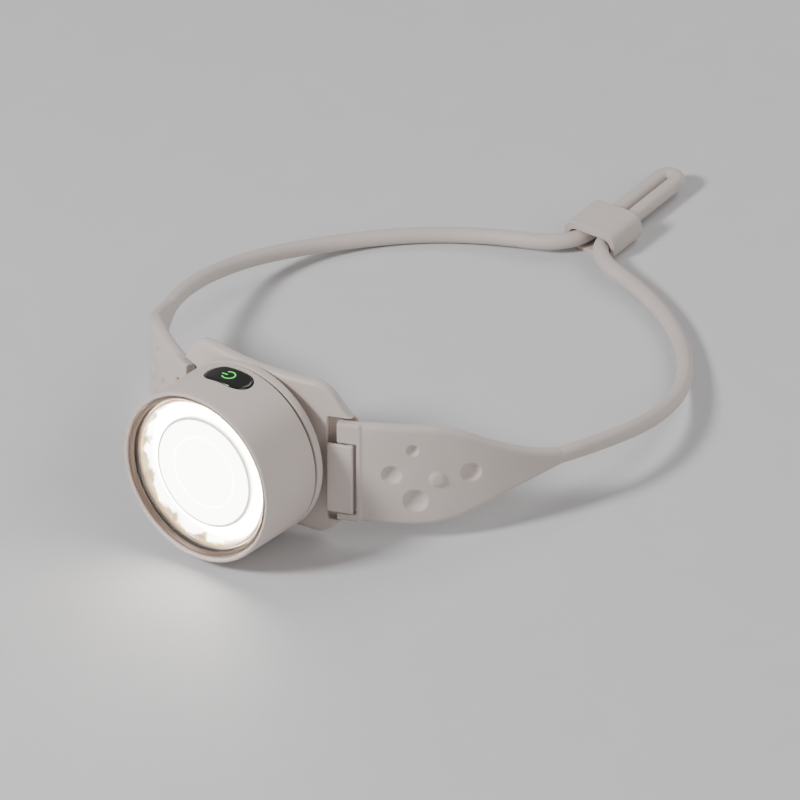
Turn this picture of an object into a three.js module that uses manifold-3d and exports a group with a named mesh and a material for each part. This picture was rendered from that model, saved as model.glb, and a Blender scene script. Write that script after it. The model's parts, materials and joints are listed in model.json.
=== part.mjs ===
// A rechargeable headlamp: a round lamp that tilts on a curved forehead plate, held by a one-piece
// silicone band whose two flat arms run out into a round cord with a sliding lock.
// Millimetres, +Z up. The lamp faces -Y and +X is on the right for someone looking along +Y.
// The lamp, plate and arms are laid out upright in a frame of their own, centred on the front rim,
// and that frame leans back until the slider at the far end of the cord lies flat on the surface.
import * as THREE from 'three';
import { mergeVertices } from 'three/addons/utils/BufferGeometryUtils.js';
import Module from 'manifold-3d';

const wasm = await Module();
wasm.setup();

// ---------- driving dimensions ----------
const LEAN = 6.9; // degrees that the lamp leans back
const LAMP_SHIFT_Y = -30.8; // places the middle of the lamp and arms over the origin
const LAMP_LIFT = 24.43; // puts the hinge lugs on the surface

const LAMP_R = 22; // outside of the lamp
const CAVITY_R = 20.2; // inside of the housing
const LAMP_LENGTH = 22;
const HOUSING_END = LAMP_LENGTH - 3.5; // depth at which the housing ends
const COVER_START = LAMP_LENGTH - 2.8;
const COVER_FLOOR = LAMP_LENGTH - 1.6; // inner face of the cover
const LENS_R = 20.6;
const LIP_IN = 20.9; // bore inside the front lip
const LENS_FRONT = 1.6;
const LENS_THICKNESS = 1.2;
const SEAT_DEPTH = 3.4; // ledge behind the lens gasket

const BOARD_R = 13.4; // led board and heat spreader
const BOARD_FRONT = 10;
const LED_THICKNESS = 0.7;
const SPOT_SIZE = 3.4;
const FLOOD_SIZE = 2;
const FLOOD_RING_R = 10.4;
const FLOOD_COUNT = 4;

const BUTTON_Y = 13.2;
const BUTTON_LENGTH = 12.6;
const BUTTON_WIDTH = 7.4;
const BUTTON_BOTTOM = 18.8;
const BUTTON_TOP_R = 22.2;
const LIGHT_R = 2;
const BUTTON_GAP = 0.3; // all round, in the housing's hole

const PORT_Y = 13;
const PORT_COVER_HALF = 6;
const PORT_COVER_WIDTH = 5.2;
const PORT_GAP = 0.3;
const PORT_SKIN = [21, 21.95]; // inner and outer radius of the port cover
const SOCKET_SIZE = [9, 3.2];
const SOCKET_MOUTH = [8.2, 2.4];

const BATTERY_BOX = [[-11.8, 11.8], [12.6, 19], [-5, 13.2]];
const MAIN_BOARD_BOX = [[-11, 11], [15, 16], [-15, -5.8]];

const SCREW_RING_R = 17.6;
const SCREW_ANGLES = [35, 145, 215, 325];
const BOSS_R = 2.2;
const BOSS_START = 9;
const SCREW_BORE_R = 1;
const SCREW_SHANK_R = 0.85;
const SCREW_HEAD_R = 1.7;
const SCREW_RECESS_R = 1.95;
const SCREW_RECESS_Y = LAMP_LENGTH - 0.9;

const HINGE_Y = 24.2;
const HINGE_Z = -19.66;
const KNUCKLE_R = 2;
const PIN_R = 1;
const PIN_BORE_R = 1.08;
const LUG_WEB_HALF = 1.2; // half-height of the web that carries each lug
const LUG_X = [2.4, 5.4]; // the back cover's hinge lugs
const KNUCKLE_X = [5.7, 8.7]; // the plate's hinge knuckles
const KNUCKLE_ROOT_Z = -17.9; // where each knuckle's web joins the plate
const PIN_X = [2, 9];

const BAND_R = 64; // the plate, arms and cord follow one circle, seen from above
const BAND_CENTRE_Y = 87;
const BAND_Z = -1.5; // mid-height of the arms
const PLATE_IN = 61.4;
const PLATE_OUT = 64.6;
const POCKET_R = 62.6; // floor of the pocket that the arm's end lies in
const BAR_R = 1;
const BAR_ANGLE = 21.2;
const BAR_RING_R = 64.05;
const WINDOW_SPAN = [-11.2, 7.9]; // of the window at the arm's end, from the arm's middle
const HOOK_SPAN = [-10.9, 7.6];
const HOOK_POST = [22.6, 23.9]; // angles of the hook's post, which stands in the window
const HOOK_START = 18.4; // angle at which the hook's head begins
const POCKET = [18, 26]; // angles of the pocket
const POCKET_Z = [-15.4, 12.4];
const PAD_IN = 59.8; // face of the pad that rests on the forehead
const ARM_FRAME = [20.4, 25.4]; // angles of the frame round the window
const WINDOW_END = 24.6;
const ARM_END_ANGLE = 69;
const ARM_THICKNESS = 3.2;

const CORD_R = 2;
const CORD_SIDES = 8;
const CORD_STEPS = 42;
const CORD_Z = 3.4; // height of the cord's middle inside the slider
const RUN_X = 2.4; // half the distance between the two runs of the tail
const SLIDER_FRONT = 122.8;
const SLIDER_LENGTH = 11.5;
const SLIDER_WIDTH = 15.5;
const SLIDER_HEIGHT = 7.8;
const SLIDER_CORNER = 3.3;
const SLOT_HALF = 4.8;
const SLOT_MOUTH_HALF = 6.7;
const SLOT_HEIGHT = 4.6;
const TAIL_END_Y = 155;

// Middle line of the right-hand cord, from the arm to the tail's end. The left one mirrors it.
// It comes down from the arm, lies on the surface round the back of the loop and turns into the slider.
const CORD_ROUTE = [
  [59.9, 33.0, 15.2], [61.5, 37.9, 14.5], [62.8, 43.5, 13.5], [63.7, 50.0, 12.1], [64.0, 57.0, 10.4],
  [63.5, 64.4, 8.6], [62.1, 71.6, 6.9], [59.9, 78.4, 5.3], [56.9, 84.9, 4.0], [53.1, 90.9, 3.0],
  [48.5, 96.6, 2.4], [43.2, 101.7, 2.1], [37.3, 106.1, 2.05], [30.9, 109.9, 2.1], [24.2, 112.9, 2.3],
  [17.6, 115.1, 2.7], [11.7, 116.7, 3.1], [7.3, 118.8, 3.3], [4.3, 121.8, 3.4], [2.8, 125.6, 3.4],
  [2.4, 129.6, 3.4], [2.4, 135.5, 3.4], [2.4, 142.0, 3.4], [2.4, 148.5, 3.4], [2.4, 154.7, 3.4],
];

// ---------- helpers ----------
const radians = THREE.MathUtils.degToRad;

// The closed solid of a geometry: shared corners merged, flat triangles dropped, faces pointing out.
function toSolid(geometry) {
  const bare = new THREE.BufferGeometry();
  bare.setAttribute('position', geometry.getAttribute('position'));
  bare.setIndex(geometry.getIndex());
  const merged = mergeVertices(bare, 1e-4);
  const corners = merged.getIndex().array;
  const kept = [];
  for (let i = 0; i < corners.length; i += 3) {
    const [a, b, c] = corners.subarray(i, i + 3);
    if (a !== b && b !== c && c !== a) kept.push(a, b, c);
  }
  const build = (triangles) => new wasm.Manifold(new wasm.Mesh({
    numProp: 3,
    vertProperties: merged.getAttribute('position').array,
    triVerts: new Uint32Array(triangles),
  }));
  const made = build(kept);
  return made.volume() < 0 ? build(kept.reverse()) : made;
}

function toGeometry(solid) {
  const mesh = solid.getMesh();
  const geometry = new THREE.BufferGeometry();
  geometry.setAttribute('position', new THREE.BufferAttribute(new Float32Array(mesh.vertProperties), 3));
  geometry.setIndex(new THREE.BufferAttribute(new Uint32Array(mesh.triVerts), 1));
  geometry.computeVertexNormals();
  return geometry;
}

function join(first, ...others) {
  return toGeometry(others.reduce((sum, g) => sum.add(toSolid(g)), toSolid(first)));
}

function cut(first, ...others) {
  return toGeometry(others.reduce((rest, g) => rest.subtract(toSolid(g)), toSolid(first)));
}

const common = (a, b) => toGeometry(toSolid(a).intersect(toSolid(b)));

// A profile of [radius, y] corners, turned about the Y axis.
function turned(profile, segments = 40) {
  const points = profile.map(([radius, y]) => new THREE.Vector2(radius, y));
  points.push(points[0].clone());
  return new THREE.LatheGeometry(points, segments);
}

function block(x, y, z) {
  const geometry = new THREE.BoxGeometry(x[1] - x[0], y[1] - y[0], z[1] - z[0]);
  return geometry.translate((x[0] + x[1]) / 2, (y[0] + y[1]) / 2, (z[0] + z[1]) / 2);
}

// Round bars along each axis, from one end to the other.
function barX(radius, x, y, z, segments = 16) {
  const geometry = new THREE.CylinderGeometry(radius, radius, x[1] - x[0], segments);
  return geometry.rotateZ(Math.PI / 2).translate((x[0] + x[1]) / 2, y, z);
}

function barY(radius, x, y, z, segments = 16) {
  const geometry = new THREE.CylinderGeometry(radius, radius, y[1] - y[0], segments);
  return geometry.translate(x, (y[0] + y[1]) / 2, z);
}

function barZ(radius, x, y, z, segments = 16) {
  const geometry = new THREE.CylinderGeometry(radius, radius, z[1] - z[0], segments);
  return geometry.rotateX(Math.PI / 2).translate(x, y, (z[0] + z[1]) / 2);
}

// An outline with straight sides and round ends, as tall as width, extruded from z[0] to z[1].
function stadiumZ(length, width, y, z) {
  const r = width / 2;
  const shape = new THREE.Shape();
  shape.absarc(length / 2 - r, 0, r, -Math.PI / 2, Math.PI / 2);
  shape.absarc(r - length / 2, 0, r, Math.PI / 2, Math.PI * 1.5);
  const options = { depth: z[1] - z[0], bevelEnabled: false, curveSegments: 8 };
  return new THREE.ExtrudeGeometry(shape, options).translate(0, y, z[0]);
}

// A closed skin over rings of points that all have the same count.
function loft(rings) {
  const count = rings[0].length;
  const last = (rings.length - 1) * count;
  const index = [];
  for (let i = 0; i + 1 < rings.length; i += 1) {
    for (let j = 0; j < count; j += 1) {
      const a = i * count + j;
      const b = i * count + ((j + 1) % count);
      index.push(a, b, a + count, b, b + count, a + count);
    }
  }
  for (let j = 1; j + 1 < count; j += 1) {
    index.push(0, j + 1, j, last, last + j, last + j + 1);
  }
  const geometry = new THREE.BufferGeometry();
  const flat = rings.flat().flatMap((p) => [p.x, p.y, p.z]);
  geometry.setAttribute('position', new THREE.BufferAttribute(new Float32Array(flat), 3));
  geometry.setIndex(index);
  return geometry;
}

// A point on the band's circle: angle in degrees from straight ahead, positive to the right.
function bandPoint(angle, radius, z) {
  const turn = radians(angle);
  return new THREE.Vector3(radius * Math.sin(turn), BAND_CENTRE_Y - radius * Math.cos(turn), z);
}

// A rounded rectangle standing across the band's circle.
function bandRing(angle, radii, heights, corner) {
  const ring = [];
  const [inner, outer] = radii;
  const [low, high] = heights;
  const corners = [
    [outer - corner, high - corner, 0],
    [inner + corner, high - corner, 90],
    [inner + corner, low + corner, 180],
    [outer - corner, low + corner, 270],
  ];
  for (const [radius, z, start] of corners) {
    for (const step of [0, 45, 90]) {
      const turn = radians(start + step);
      ring.push(bandPoint(angle, radius + corner * Math.cos(turn), z + corner * Math.sin(turn)));
    }
  }
  return ring;
}

function bandBlock(side, angles, radii, heights, corner = 0.05) {
  const steps = Math.max(1, Math.ceil((angles[1] - angles[0]) / 3));
  const rings = [];
  for (let i = 0; i <= steps; i += 1) {
    const angle = angles[0] + ((angles[1] - angles[0]) * i) / steps;
    rings.push(bandRing(side * angle, radii, heights, corner));
  }
  return loft(rings);
}

// Turns a geometry made along +Y so that it points outward from the band at an angle and height.
function facingOut(geometry, angle, radius, z) {
  return geometry.rotateZ(Math.PI + radians(angle)).translate(...bandPoint(angle, radius, z).toArray());
}

// ---------- materials ----------
function finish(color, roughness, metalness = 0) {
  return new THREE.MeshStandardMaterial({ color, roughness, metalness });
}

const silicone = finish(0xc3b9b3, 0.7);
const softPlastic = finish(0xc8bfb9, 0.6);
const glossBlack = finish(0x101211, 0.2);
const clear = new THREE.MeshStandardMaterial({
  color: 0xf4f4ee, roughness: 0.05, transparent: true, opacity: 0.35,
});
const mirror = finish(0xe6e4dc, 0.12, 1);
const bronze = finish(0x8d7567, 0.35, 0.8);
const greenGlow = new THREE.MeshStandardMaterial({ color: 0x2bd43a, emissive: 0x2bd43a });
const rubberGrey = finish(0x55524f, 0.8);
const circuitGreen = finish(0x1f5b3a, 0.5);
const boardWhite = finish(0xefece4, 0.45);
const aluminium = finish(0xb8bbbd, 0.4, 1);
const steel = finish(0x9a9da0, 0.35, 1);
const ledYellow = finish(0xf3d34a, 0.5);
const cellSilver = finish(0xa9adb2, 0.45, 0.6);
const wireRed = finish(0xb3261e, 0.55);
const wireBlack = finish(0x1a1a1a, 0.55);

const headlamp = new THREE.Group();
const upright = new THREE.Group(); // the lamp's own upright frame, which leans back
upright.rotation.x = -radians(LEAN);
upright.position.set(0, LAMP_SHIFT_Y, LAMP_LIFT);
headlamp.add(upright);

function addPiece(group, name, geometry, material) {
  const mesh = new THREE.Mesh(toGeometry(toSolid(geometry)), material);
  mesh.name = name;
  group.add(mesh);
}

// ---------- lamp housing ----------
const ringPoint = (angle, radius) => [radius * Math.cos(radians(angle)), radius * Math.sin(radians(angle))];

function screwBoss(angle) {
  const [x, z] = ringPoint(angle, SCREW_RING_R);
  const web = block([SCREW_RING_R, 20.8], [BOSS_START, HOUSING_END - 0.1], [-1.2, 1.2]);
  const post = barY(BOSS_R, x, [BOSS_START, COVER_FLOOR - 0.2], z, 16);
  return [post, web.rotateY(-radians(angle))];
}

function lampShell() {
  const wall = turned([
    [LIP_IN, 0.5], [21.2, 0.1], [21.6, 0], [21.9, 0.3], [LAMP_R, 0.8], [LAMP_R, HOUSING_END],
    [CAVITY_R, HOUSING_END], [CAVITY_R, SEAT_DEPTH + 0.8], [19.3, SEAT_DEPTH + 0.8], [19.3, SEAT_DEPTH],
    [LIP_IN, SEAT_DEPTH],
  ], 56);
  const bosses = SCREW_ANGLES.flatMap(screwBoss);
  const screwBores = SCREW_ANGLES.map((angle) => {
    const [x, z] = ringPoint(angle, SCREW_RING_R);
    return barY(SCREW_BORE_R, x, [14, LAMP_LENGTH], z, 12);
  });
  const holeSize = [BUTTON_LENGTH + 2 * BUTTON_GAP, BUTTON_WIDTH + 2 * BUTTON_GAP];
  const buttonHole = stadiumZ(...holeSize, BUTTON_Y, [17, 24]);
  const portHole = stadiumZ(SOCKET_SIZE[0] + 0.8, SOCKET_SIZE[1] + 0.8, PORT_Y, [-24, -18]);
  const recessX = PORT_COVER_HALF + PORT_GAP;
  const recessY = PORT_COVER_WIDTH / 2 + PORT_GAP;
  const recess = cut(
    block([-recessX, recessX], [PORT_Y - recessY, PORT_Y + recessY], [-24, -18]),
    barY(20.85, 0, [PORT_Y - 4, PORT_Y + 4], 0, 64),
  );
  return cut(join(wall, ...bosses), ...screwBores, buttonHole, portHole, recess);
}

const onSide = (side, span) => span.map((v) => side * v).sort((a, b) => a - b);

function hingeLug(side) {
  const x = onSide(side, LUG_X);
  return [
    barX(KNUCKLE_R, x, HINGE_Y, HINGE_Z),
    block(x, [LAMP_LENGTH - 1, HINGE_Y], [HINGE_Z - LUG_WEB_HALF, HINGE_Z + LUG_WEB_HALF]),
  ];
}

function backCover() {
  const cup = turned([
    [0, LAMP_LENGTH], [20.9, LAMP_LENGTH], [21.6, LAMP_LENGTH - 0.3], [LAMP_R, LAMP_LENGTH - 1],
    [LAMP_R, COVER_START],
    [CAVITY_R, COVER_START], [CAVITY_R, COVER_FLOOR], [0, COVER_FLOOR],
  ], 56);
  const holes = SCREW_ANGLES.flatMap((angle) => {
    const [x, z] = ringPoint(angle, SCREW_RING_R);
    const bore = barY(SCREW_BORE_R, x, [COVER_FLOOR - 0.4, LAMP_LENGTH + 1], z, 12);
    return [bore, barY(SCREW_RECESS_R, x, [SCREW_RECESS_Y, LAMP_LENGTH + 1], z, 16)];
  });
  const pinBore = barX(PIN_BORE_R, [-10, 10], HINGE_Y, HINGE_Z);
  return cut(join(cup, ...hingeLug(1), ...hingeLug(-1)), ...holes, pinBore);
}

function coverScrew(angle) {
  const [x, z] = ringPoint(angle, SCREW_RING_R);
  const shank = barY(SCREW_SHANK_R, x, [15, SCREW_RECESS_Y + 0.3], z, 10);
  const head = barY(SCREW_HEAD_R, x, [SCREW_RECESS_Y + 0.15, LAMP_LENGTH - 0.05], z, 14);
  const slot = block([x - 0.25, x + 0.25], [LAMP_LENGTH - 0.4, LAMP_LENGTH + 0.2], [z - 1.2, z + 1.2]);
  return cut(join(shank, head), slot);
}

addPiece(upright, 'lamp_shell', lampShell(), softPlastic);
addPiece(upright, 'back_cover', backCover(), softPlastic);
const sealY = [HOUSING_END + 0.1, COVER_START - 0.1];
const sealProfile = [[20.4, sealY[0]], [21.4, sealY[0]], [21.4, sealY[1]], [20.4, sealY[1]]];
addPiece(upright, 'cover_seal', turned(sealProfile), rubberGrey);
SCREW_ANGLES.forEach((angle, i) => {
  addPiece(upright, `cover_screw_${i + 1}`, coverScrew(angle), steel);
});

// ---------- lens, reflector and light sources ----------
function centerOptic() {
  return turned([
    [0, 3.5], [8.6, 3.7], [8.9, 4.2], [9.3, 3.8], [13.9, 3.8], [14.2, 4.1], [14.2, 4.8], [9, 4.8],
    [4.2, 9.8], [2.9, 9.8], [2.9, 9], [0, 8.6],
  ], 40);
}

function reflector() {
  return turned([
    [19, 3.1], [19, 3.9], [17.8, 5.2], [15.9, 7.4], [14.3, 9.7], [13.3, 9.7], [14.9, 7.2], [17, 4.8],
    [18.4, 3.1],
  ]);
}

function lightSource(x, z, width) {
  const front = BOARD_FRONT - 0.1 - LED_THICKNESS;
  const half = width / 2;
  return block([x - half, x + half], [front, front + LED_THICKNESS], [z - half, z + half]);
}

const bezelProfile = [[LENS_R, 0.7], [LENS_R, 1.4], [19.6, 1.4], [20.2, 0.7]];
addPiece(upright, 'bezel_ring', turned(bezelProfile), bronze);
const lensBack = LENS_FRONT + LENS_THICKNESS;
const lensProfile = [
  [0, LENS_FRONT], [20.4, LENS_FRONT], [LENS_R, LENS_FRONT + 0.2], [LENS_R, lensBack], [0, lensBack],
];
addPiece(upright, 'front_lens', turned(lensProfile), clear);
const gasketY = [lensBack + 0.1, SEAT_DEPTH - 0.1];
const gasketProfile = [[19.5, gasketY[0]], [LENS_R, gasketY[0]], [LENS_R, gasketY[1]], [19.5, gasketY[1]]];
addPiece(upright, 'lens_gasket', turned(gasketProfile), rubberGrey);
addPiece(upright, 'reflector', reflector(), mirror);
addPiece(upright, 'center_optic', centerOptic(), clear);
addPiece(upright, 'led_board', barY(BOARD_R, 0, [BOARD_FRONT, BOARD_FRONT + 1], 0, 32), boardWhite);
addPiece(upright, 'heat_spreader', barY(BOARD_R, 0, [11.2, 12.2], 0, 32), aluminium);
addPiece(upright, 'spot_led', lightSource(0, 0, SPOT_SIZE), ledYellow);
for (let i = 0; i < FLOOD_COUNT; i += 1) {
  const [x, z] = ringPoint(45 + (360 / FLOOD_COUNT) * i, FLOOD_RING_R);
  addPiece(upright, `flood_led_${i + 1}`, lightSource(x, z, FLOOD_SIZE), ledYellow);
}

// ---------- power and switch ----------
function usbSocket() {
  const can = stadiumZ(...SOCKET_SIZE, PORT_Y, [-20.4, -13.8]);
  const mouth = stadiumZ(...SOCKET_MOUTH, PORT_Y, [-21, -14.8]);
  const tongue = block([-3.1, 3.1], [PORT_Y - 0.35, PORT_Y + 0.35], [-19.8, -14.5]);
  return join(cut(can, mouth), tongue);
}

function portCover() {
  const y = [PORT_Y - PORT_COVER_WIDTH / 2, PORT_Y + PORT_COVER_WIDTH / 2];
  const [inner, outer] = PORT_SKIN;
  const skin = turned([[inner, y[0]], [outer, y[0]], [outer, y[1]], [inner, y[1]]], 96);
  return common(skin, block([-PORT_COVER_HALF, PORT_COVER_HALF], [y[0] - 1, y[1] + 1], [-23, -18]));
}

function batteryLead(x) {
  const path = new THREE.CatmullRomCurve3([
    new THREE.Vector3(x, 17, -5.3), new THREE.Vector3(x, 17.1, -6.6),
    new THREE.Vector3(x, 17, -8), new THREE.Vector3(x, 16.2, -8.8),
  ]);
  const section = new THREE.Shape().absarc(0, 0, 0.45, 0, Math.PI * 2);
  const options = { steps: 6, extrudePath: path, curveSegments: 4, bevelEnabled: false };
  return new THREE.ExtrudeGeometry(section, options);
}

addPiece(upright, 'battery', block(...BATTERY_BOX), cellSilver);
addPiece(upright, 'main_board', block(...MAIN_BOARD_BOX), circuitGreen);
addPiece(upright, 'usb_socket', usbSocket(), steel);
addPiece(upright, 'port_cover', portCover(), silicone);
addPiece(upright, 'battery_lead_red', batteryLead(-3), wireRed);
addPiece(upright, 'battery_lead_black', batteryLead(3), wireBlack);
const aroundButton = (reach) => [BUTTON_Y - reach, BUTTON_Y + reach];
addPiece(upright, 'switch_board', block([-6, 6], aroundButton(2.8), [15.5, 16.2]), circuitGreen);
addPiece(upright, 'tact_switch', block([-2.2, 2.2], aroundButton(2.2), [16.4, 17.3]), steel);
const buttonSeal = stadiumZ(BUTTON_LENGTH + 2, BUTTON_WIDTH + 1.8, BUTTON_Y, [17.5, 18.2]);
addPiece(upright, 'button_seal', buttonSeal, rubberGrey);

// ---------- button ----------
function buttonCap() {
  const plug = stadiumZ(BUTTON_LENGTH, BUTTON_WIDTH, BUTTON_Y, [BUTTON_BOTTOM, 24]);
  const crowned = common(plug, barY(BUTTON_TOP_R, 0, [5, 20], 0, 96));
  return cut(crowned, barZ(LIGHT_R + 0.3, 0, BUTTON_Y, [17, 25], 20));
}

addPiece(upright, 'button_cap', buttonCap(), glossBlack);
addPiece(upright, 'button_light', barZ(LIGHT_R, 0, BUTTON_Y, [BUTTON_BOTTOM, 22.1]), greenGlow);

// ---------- forehead plate ----------
// [angle, bottom, top] of the plate's right half: flat along the top and bottom, then a rounded lobe
// at each corner that sweeps in to the band.
const PLATE_OUTLINE = [
  [4, -19.4, 20.8], [9, -19.4, 20.8], [13, -19.5, 20.8], [15.5, -19.8, 20.7], [17, -19.5, 20.2],
  [18.5, -18.4, 19.1], [19.5, -17.4, 18], [20.5, -16.4, 16.5], [21.5, -15.2, 14.9], [22.5, -14.2, 13.5],
  [23.5, -13.4, 12.5], [24.3, -13, 12],
];
const PLATE_CORNER = 1.1;

function hookWithPost(side) {
  const heights = HOOK_SPAN.map((z) => BAND_Z + z);
  const post = bandBlock(side, HOOK_POST, [62, 66], heights);
  const head = bandBlock(side, [HOOK_START, HOOK_POST[1]], [65.35, 66.5], heights, 0.4);
  return [post, head];
}

function plateKnuckle(side) {
  const x = onSide(side, KNUCKLE_X);
  return [
    barX(KNUCKLE_R, x, HINGE_Y, HINGE_Z),
    block(x, [HINGE_Y - 1, HINGE_Y + 1], [HINGE_Z, KNUCKLE_ROOT_Z]),
  ];
}

function lugRelief(side) {
  const x = onSide(side, [LUG_X[0] - 0.8, LUG_X[1] + 0.1]);
  return barX(KNUCKLE_R + 0.35, x, HINGE_Y, HINGE_Z);
}

function bracketPlate() {
  const left = PLATE_OUTLINE.map(([angle, low, high]) => [-angle, low, high]).reverse();
  const rings = [...left, ...PLATE_OUTLINE].map(([angle, low, high]) => (
    bandRing(angle, [PLATE_IN, PLATE_OUT], [low, high], PLATE_CORNER)
  ));
  const pockets = [1, -1].map((side) => bandBlock(side, POCKET, [POCKET_R, 70], POCKET_Z));
  const reliefs = [1, -1].map(lugRelief);
  const hooks = [1, -1].flatMap(hookWithPost);
  const knuckles = [1, -1].flatMap(plateKnuckle);
  const pinBore = barX(PIN_BORE_R, [-10, 10], HINGE_Y, HINGE_Z);
  return cut(join(cut(loft(rings), ...pockets, ...reliefs), ...hooks, ...knuckles), pinBore);
}

function foreheadPad() {
  const radii = [PAD_IN, PLATE_IN - 0.2];
  const rows = [[4, -15, 18], [8, -15, 18], [12, -14.6, 17.6], [14.5, -13.5, 16.5], [16, -11.5, 14.5]];
  const left = rows.map(([angle, low, high]) => [-angle, low, high]).reverse();
  return loft([...left, ...rows].map(([angle, low, high]) => bandRing(angle, radii, [low, high], 0.5)));
}

addPiece(upright, 'bracket_plate', bracketPlate(), softPlastic);
addPiece(upright, 'forehead_pad', foreheadPad(), silicone);
addPiece(upright, 'hinge_pin_right', barX(PIN_R, onSide(1, PIN_X), HINGE_Y, HINGE_Z), steel);
addPiece(upright, 'hinge_pin_left', barX(PIN_R, onSide(-1, PIN_X), HINGE_Y, HINGE_Z), steel);

// ---------- silicone arms ----------
// [angle, half-height, thickness] from the window's far edge to the round cord.
const ARM_OUTLINE = [
  [24.8, 13.2, ARM_THICKNESS], [29, 13.4, ARM_THICKNESS], [34, 13.4, ARM_THICKNESS],
  [38, 13.3, ARM_THICKNESS], [41, 13, ARM_THICKNESS], [43.5, 12.4, ARM_THICKNESS],
  [46, 11.6, ARM_THICKNESS], [49, 10.3, ARM_THICKNESS], [52, 8.7, 3.3], [55, 7.2, 3.4], [58, 5.8, 3.5],
  [61, 4.6, 3.7], [64, 3.5, 3.8], [66.5, 2.7, 3.9], [ARM_END_ANGLE, 2.1, 4],
];
// [angle, height above the arm's middle, radius] of the round marks on the outer face.
const DIMPLES = [[32, 0.4, 2.4], [36.4, 7.2, 1.5], [37, -6.4, 3], [48.6, 0.8, 2.5]];
const BUMP = [41.6, -0.6, 2.1];
const MARK_DEPTH = 0.9;

function dimple([angle, height, r], side) {
  const bowl = turned([
    [0, -MARK_DEPTH], [0.55 * r, -0.7 * MARK_DEPTH], [0.85 * r, -0.28 * MARK_DEPTH], [r, 0], [1.1 * r, 0.6],
    [0, 0.6],
  ], 14);
  return facingOut(bowl, side * angle, BAND_R + ARM_THICKNESS / 2, BAND_Z + height);
}

function bump([angle, height, r], side) {
  const dome = turned([[0, -0.8], [r, -0.8], [r, -0.1], [0.8 * r, 0.3], [0.45 * r, 0.55], [0, 0.65]], 14);
  return facingOut(dome, side * angle, BAND_R + ARM_THICKNESS / 2, BAND_Z + height);
}

function arm(side) {
  const rings = ARM_OUTLINE.map(([angle, reach, thickness]) => bandRing(
    side * angle,
    [BAND_R - thickness / 2, BAND_R + thickness / 2],
    [BAND_Z - reach, BAND_Z + reach],
    Math.min(thickness * 0.46, reach * 0.92),
  ));
  const half = ARM_OUTLINE[0][1];
  const frame = bandBlock(side, ARM_FRAME, [63.2, 65.9], [BAND_Z - half, BAND_Z + half], 0.6);
  const window = bandBlock(side, [18, WINDOW_END], [58, 70], WINDOW_SPAN.map((z) => BAND_Z + z));
  const pivot = bandPoint(side * BAR_ANGLE, BAR_RING_R, 0);
  const barSpan = [BAND_Z + WINDOW_SPAN[0] - 1, BAND_Z + WINDOW_SPAN[1] + 1];
  const bar = barZ(BAR_R, pivot.x, pivot.y, barSpan, 16);
  const framed = join(cut(join(loft(rings), frame), window), bar, bump(BUMP, side));
  return cut(framed, ...DIMPLES.map((mark) => dimple(mark, side)));
}

addPiece(upright, 'arm_right', arm(1), silicone);
addPiece(upright, 'arm_left', arm(-1), silicone);

// ---------- cord and slider, laid out on the surface itself ----------
function circle(radius) {
  const shape = new THREE.Shape();
  for (let i = 0; i < CORD_SIDES; i += 1) {
    const turn = (Math.PI * 2 * i) / CORD_SIDES;
    if (i === 0) shape.moveTo(radius, 0);
    else shape.lineTo(radius * Math.cos(turn), radius * Math.sin(turn));
  }
  return shape;
}

function cord(side) {
  const points = CORD_ROUTE.map(([x, y, z]) => new THREE.Vector3(side * x, y, z));
  const path = new THREE.CatmullRomCurve3(points);
  const options = { steps: CORD_STEPS, extrudePath: path, bevelEnabled: false };
  return new THREE.ExtrudeGeometry(circle(CORD_R), options);
}

// The moulded end where the two runs of the tail turn into each other.
function tailEnd() {
  const turns = 8;
  const rings = [];
  for (let i = 0; i <= turns; i += 1) {
    const turn = (Math.PI * i) / turns;
    const ring = [];
    for (let j = 0; j < CORD_SIDES; j += 1) {
      const around = (Math.PI * 2 * j) / CORD_SIDES;
      const reach = RUN_X + CORD_R * Math.cos(around);
      const y = TAIL_END_Y + reach * Math.sin(turn);
      ring.push(new THREE.Vector3(reach * Math.cos(turn), y, CORD_Z + CORD_R * Math.sin(around)));
    }
    rings.push(ring);
  }
  return loft(rings);
}

function slider() {
  const r = SLIDER_CORNER;
  const half = SLIDER_WIDTH / 2;
  const shape = new THREE.Shape();
  shape.moveTo(r - half, 0);
  shape.lineTo(half - r, 0);
  shape.absarc(half - r, r, r, -Math.PI / 2, 0);
  shape.absarc(half - r, SLIDER_HEIGHT - r, r, 0, Math.PI / 2);
  shape.absarc(r - half, SLIDER_HEIGHT - r, r, Math.PI / 2, Math.PI);
  shape.absarc(r - half, r, r, Math.PI, Math.PI * 1.5);
  const options = { depth: SLIDER_LENGTH, bevelEnabled: false, curveSegments: 6 };
  const body = new THREE.ExtrudeGeometry(shape, options).rotateX(Math.PI / 2);
  body.translate(0, SLIDER_FRONT + SLIDER_LENGTH, 0);
  const slotRing = (y, halfWidth) => {
    const corner = SLOT_HEIGHT / 2 - 0.1;
    const ring = [];
    for (const [x, z, start] of [[1, 1, 0], [-1, 1, 90], [-1, -1, 180], [1, -1, 270]]) {
      for (const step of [0, 30, 60, 90]) {
        const turn = radians(start + step);
        const across = x * (halfWidth - corner) + corner * Math.cos(turn);
        ring.push(new THREE.Vector3(across, y, CORD_Z + z * 0.1 + corner * Math.sin(turn)));
      }
    }
    return ring;
  };
  const slot = loft([
    slotRing(SLIDER_FRONT - 1, SLOT_MOUTH_HALF), slotRing(SLIDER_FRONT + 1.5, SLOT_MOUTH_HALF - 0.7),
    slotRing(SLIDER_FRONT + 5.5, SLOT_HALF), slotRing(SLIDER_FRONT + SLIDER_LENGTH + 1, SLOT_HALF),
  ]);
  return cut(body, slot);
}

addPiece(headlamp, 'cord_right', cord(1), silicone);
addPiece(headlamp, 'cord_left', cord(-1), silicone);
addPiece(headlamp, 'tail_end', tailEnd(), silicone);
addPiece(headlamp, 'slider', slider(), silicone);

export default headlamp;
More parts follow.
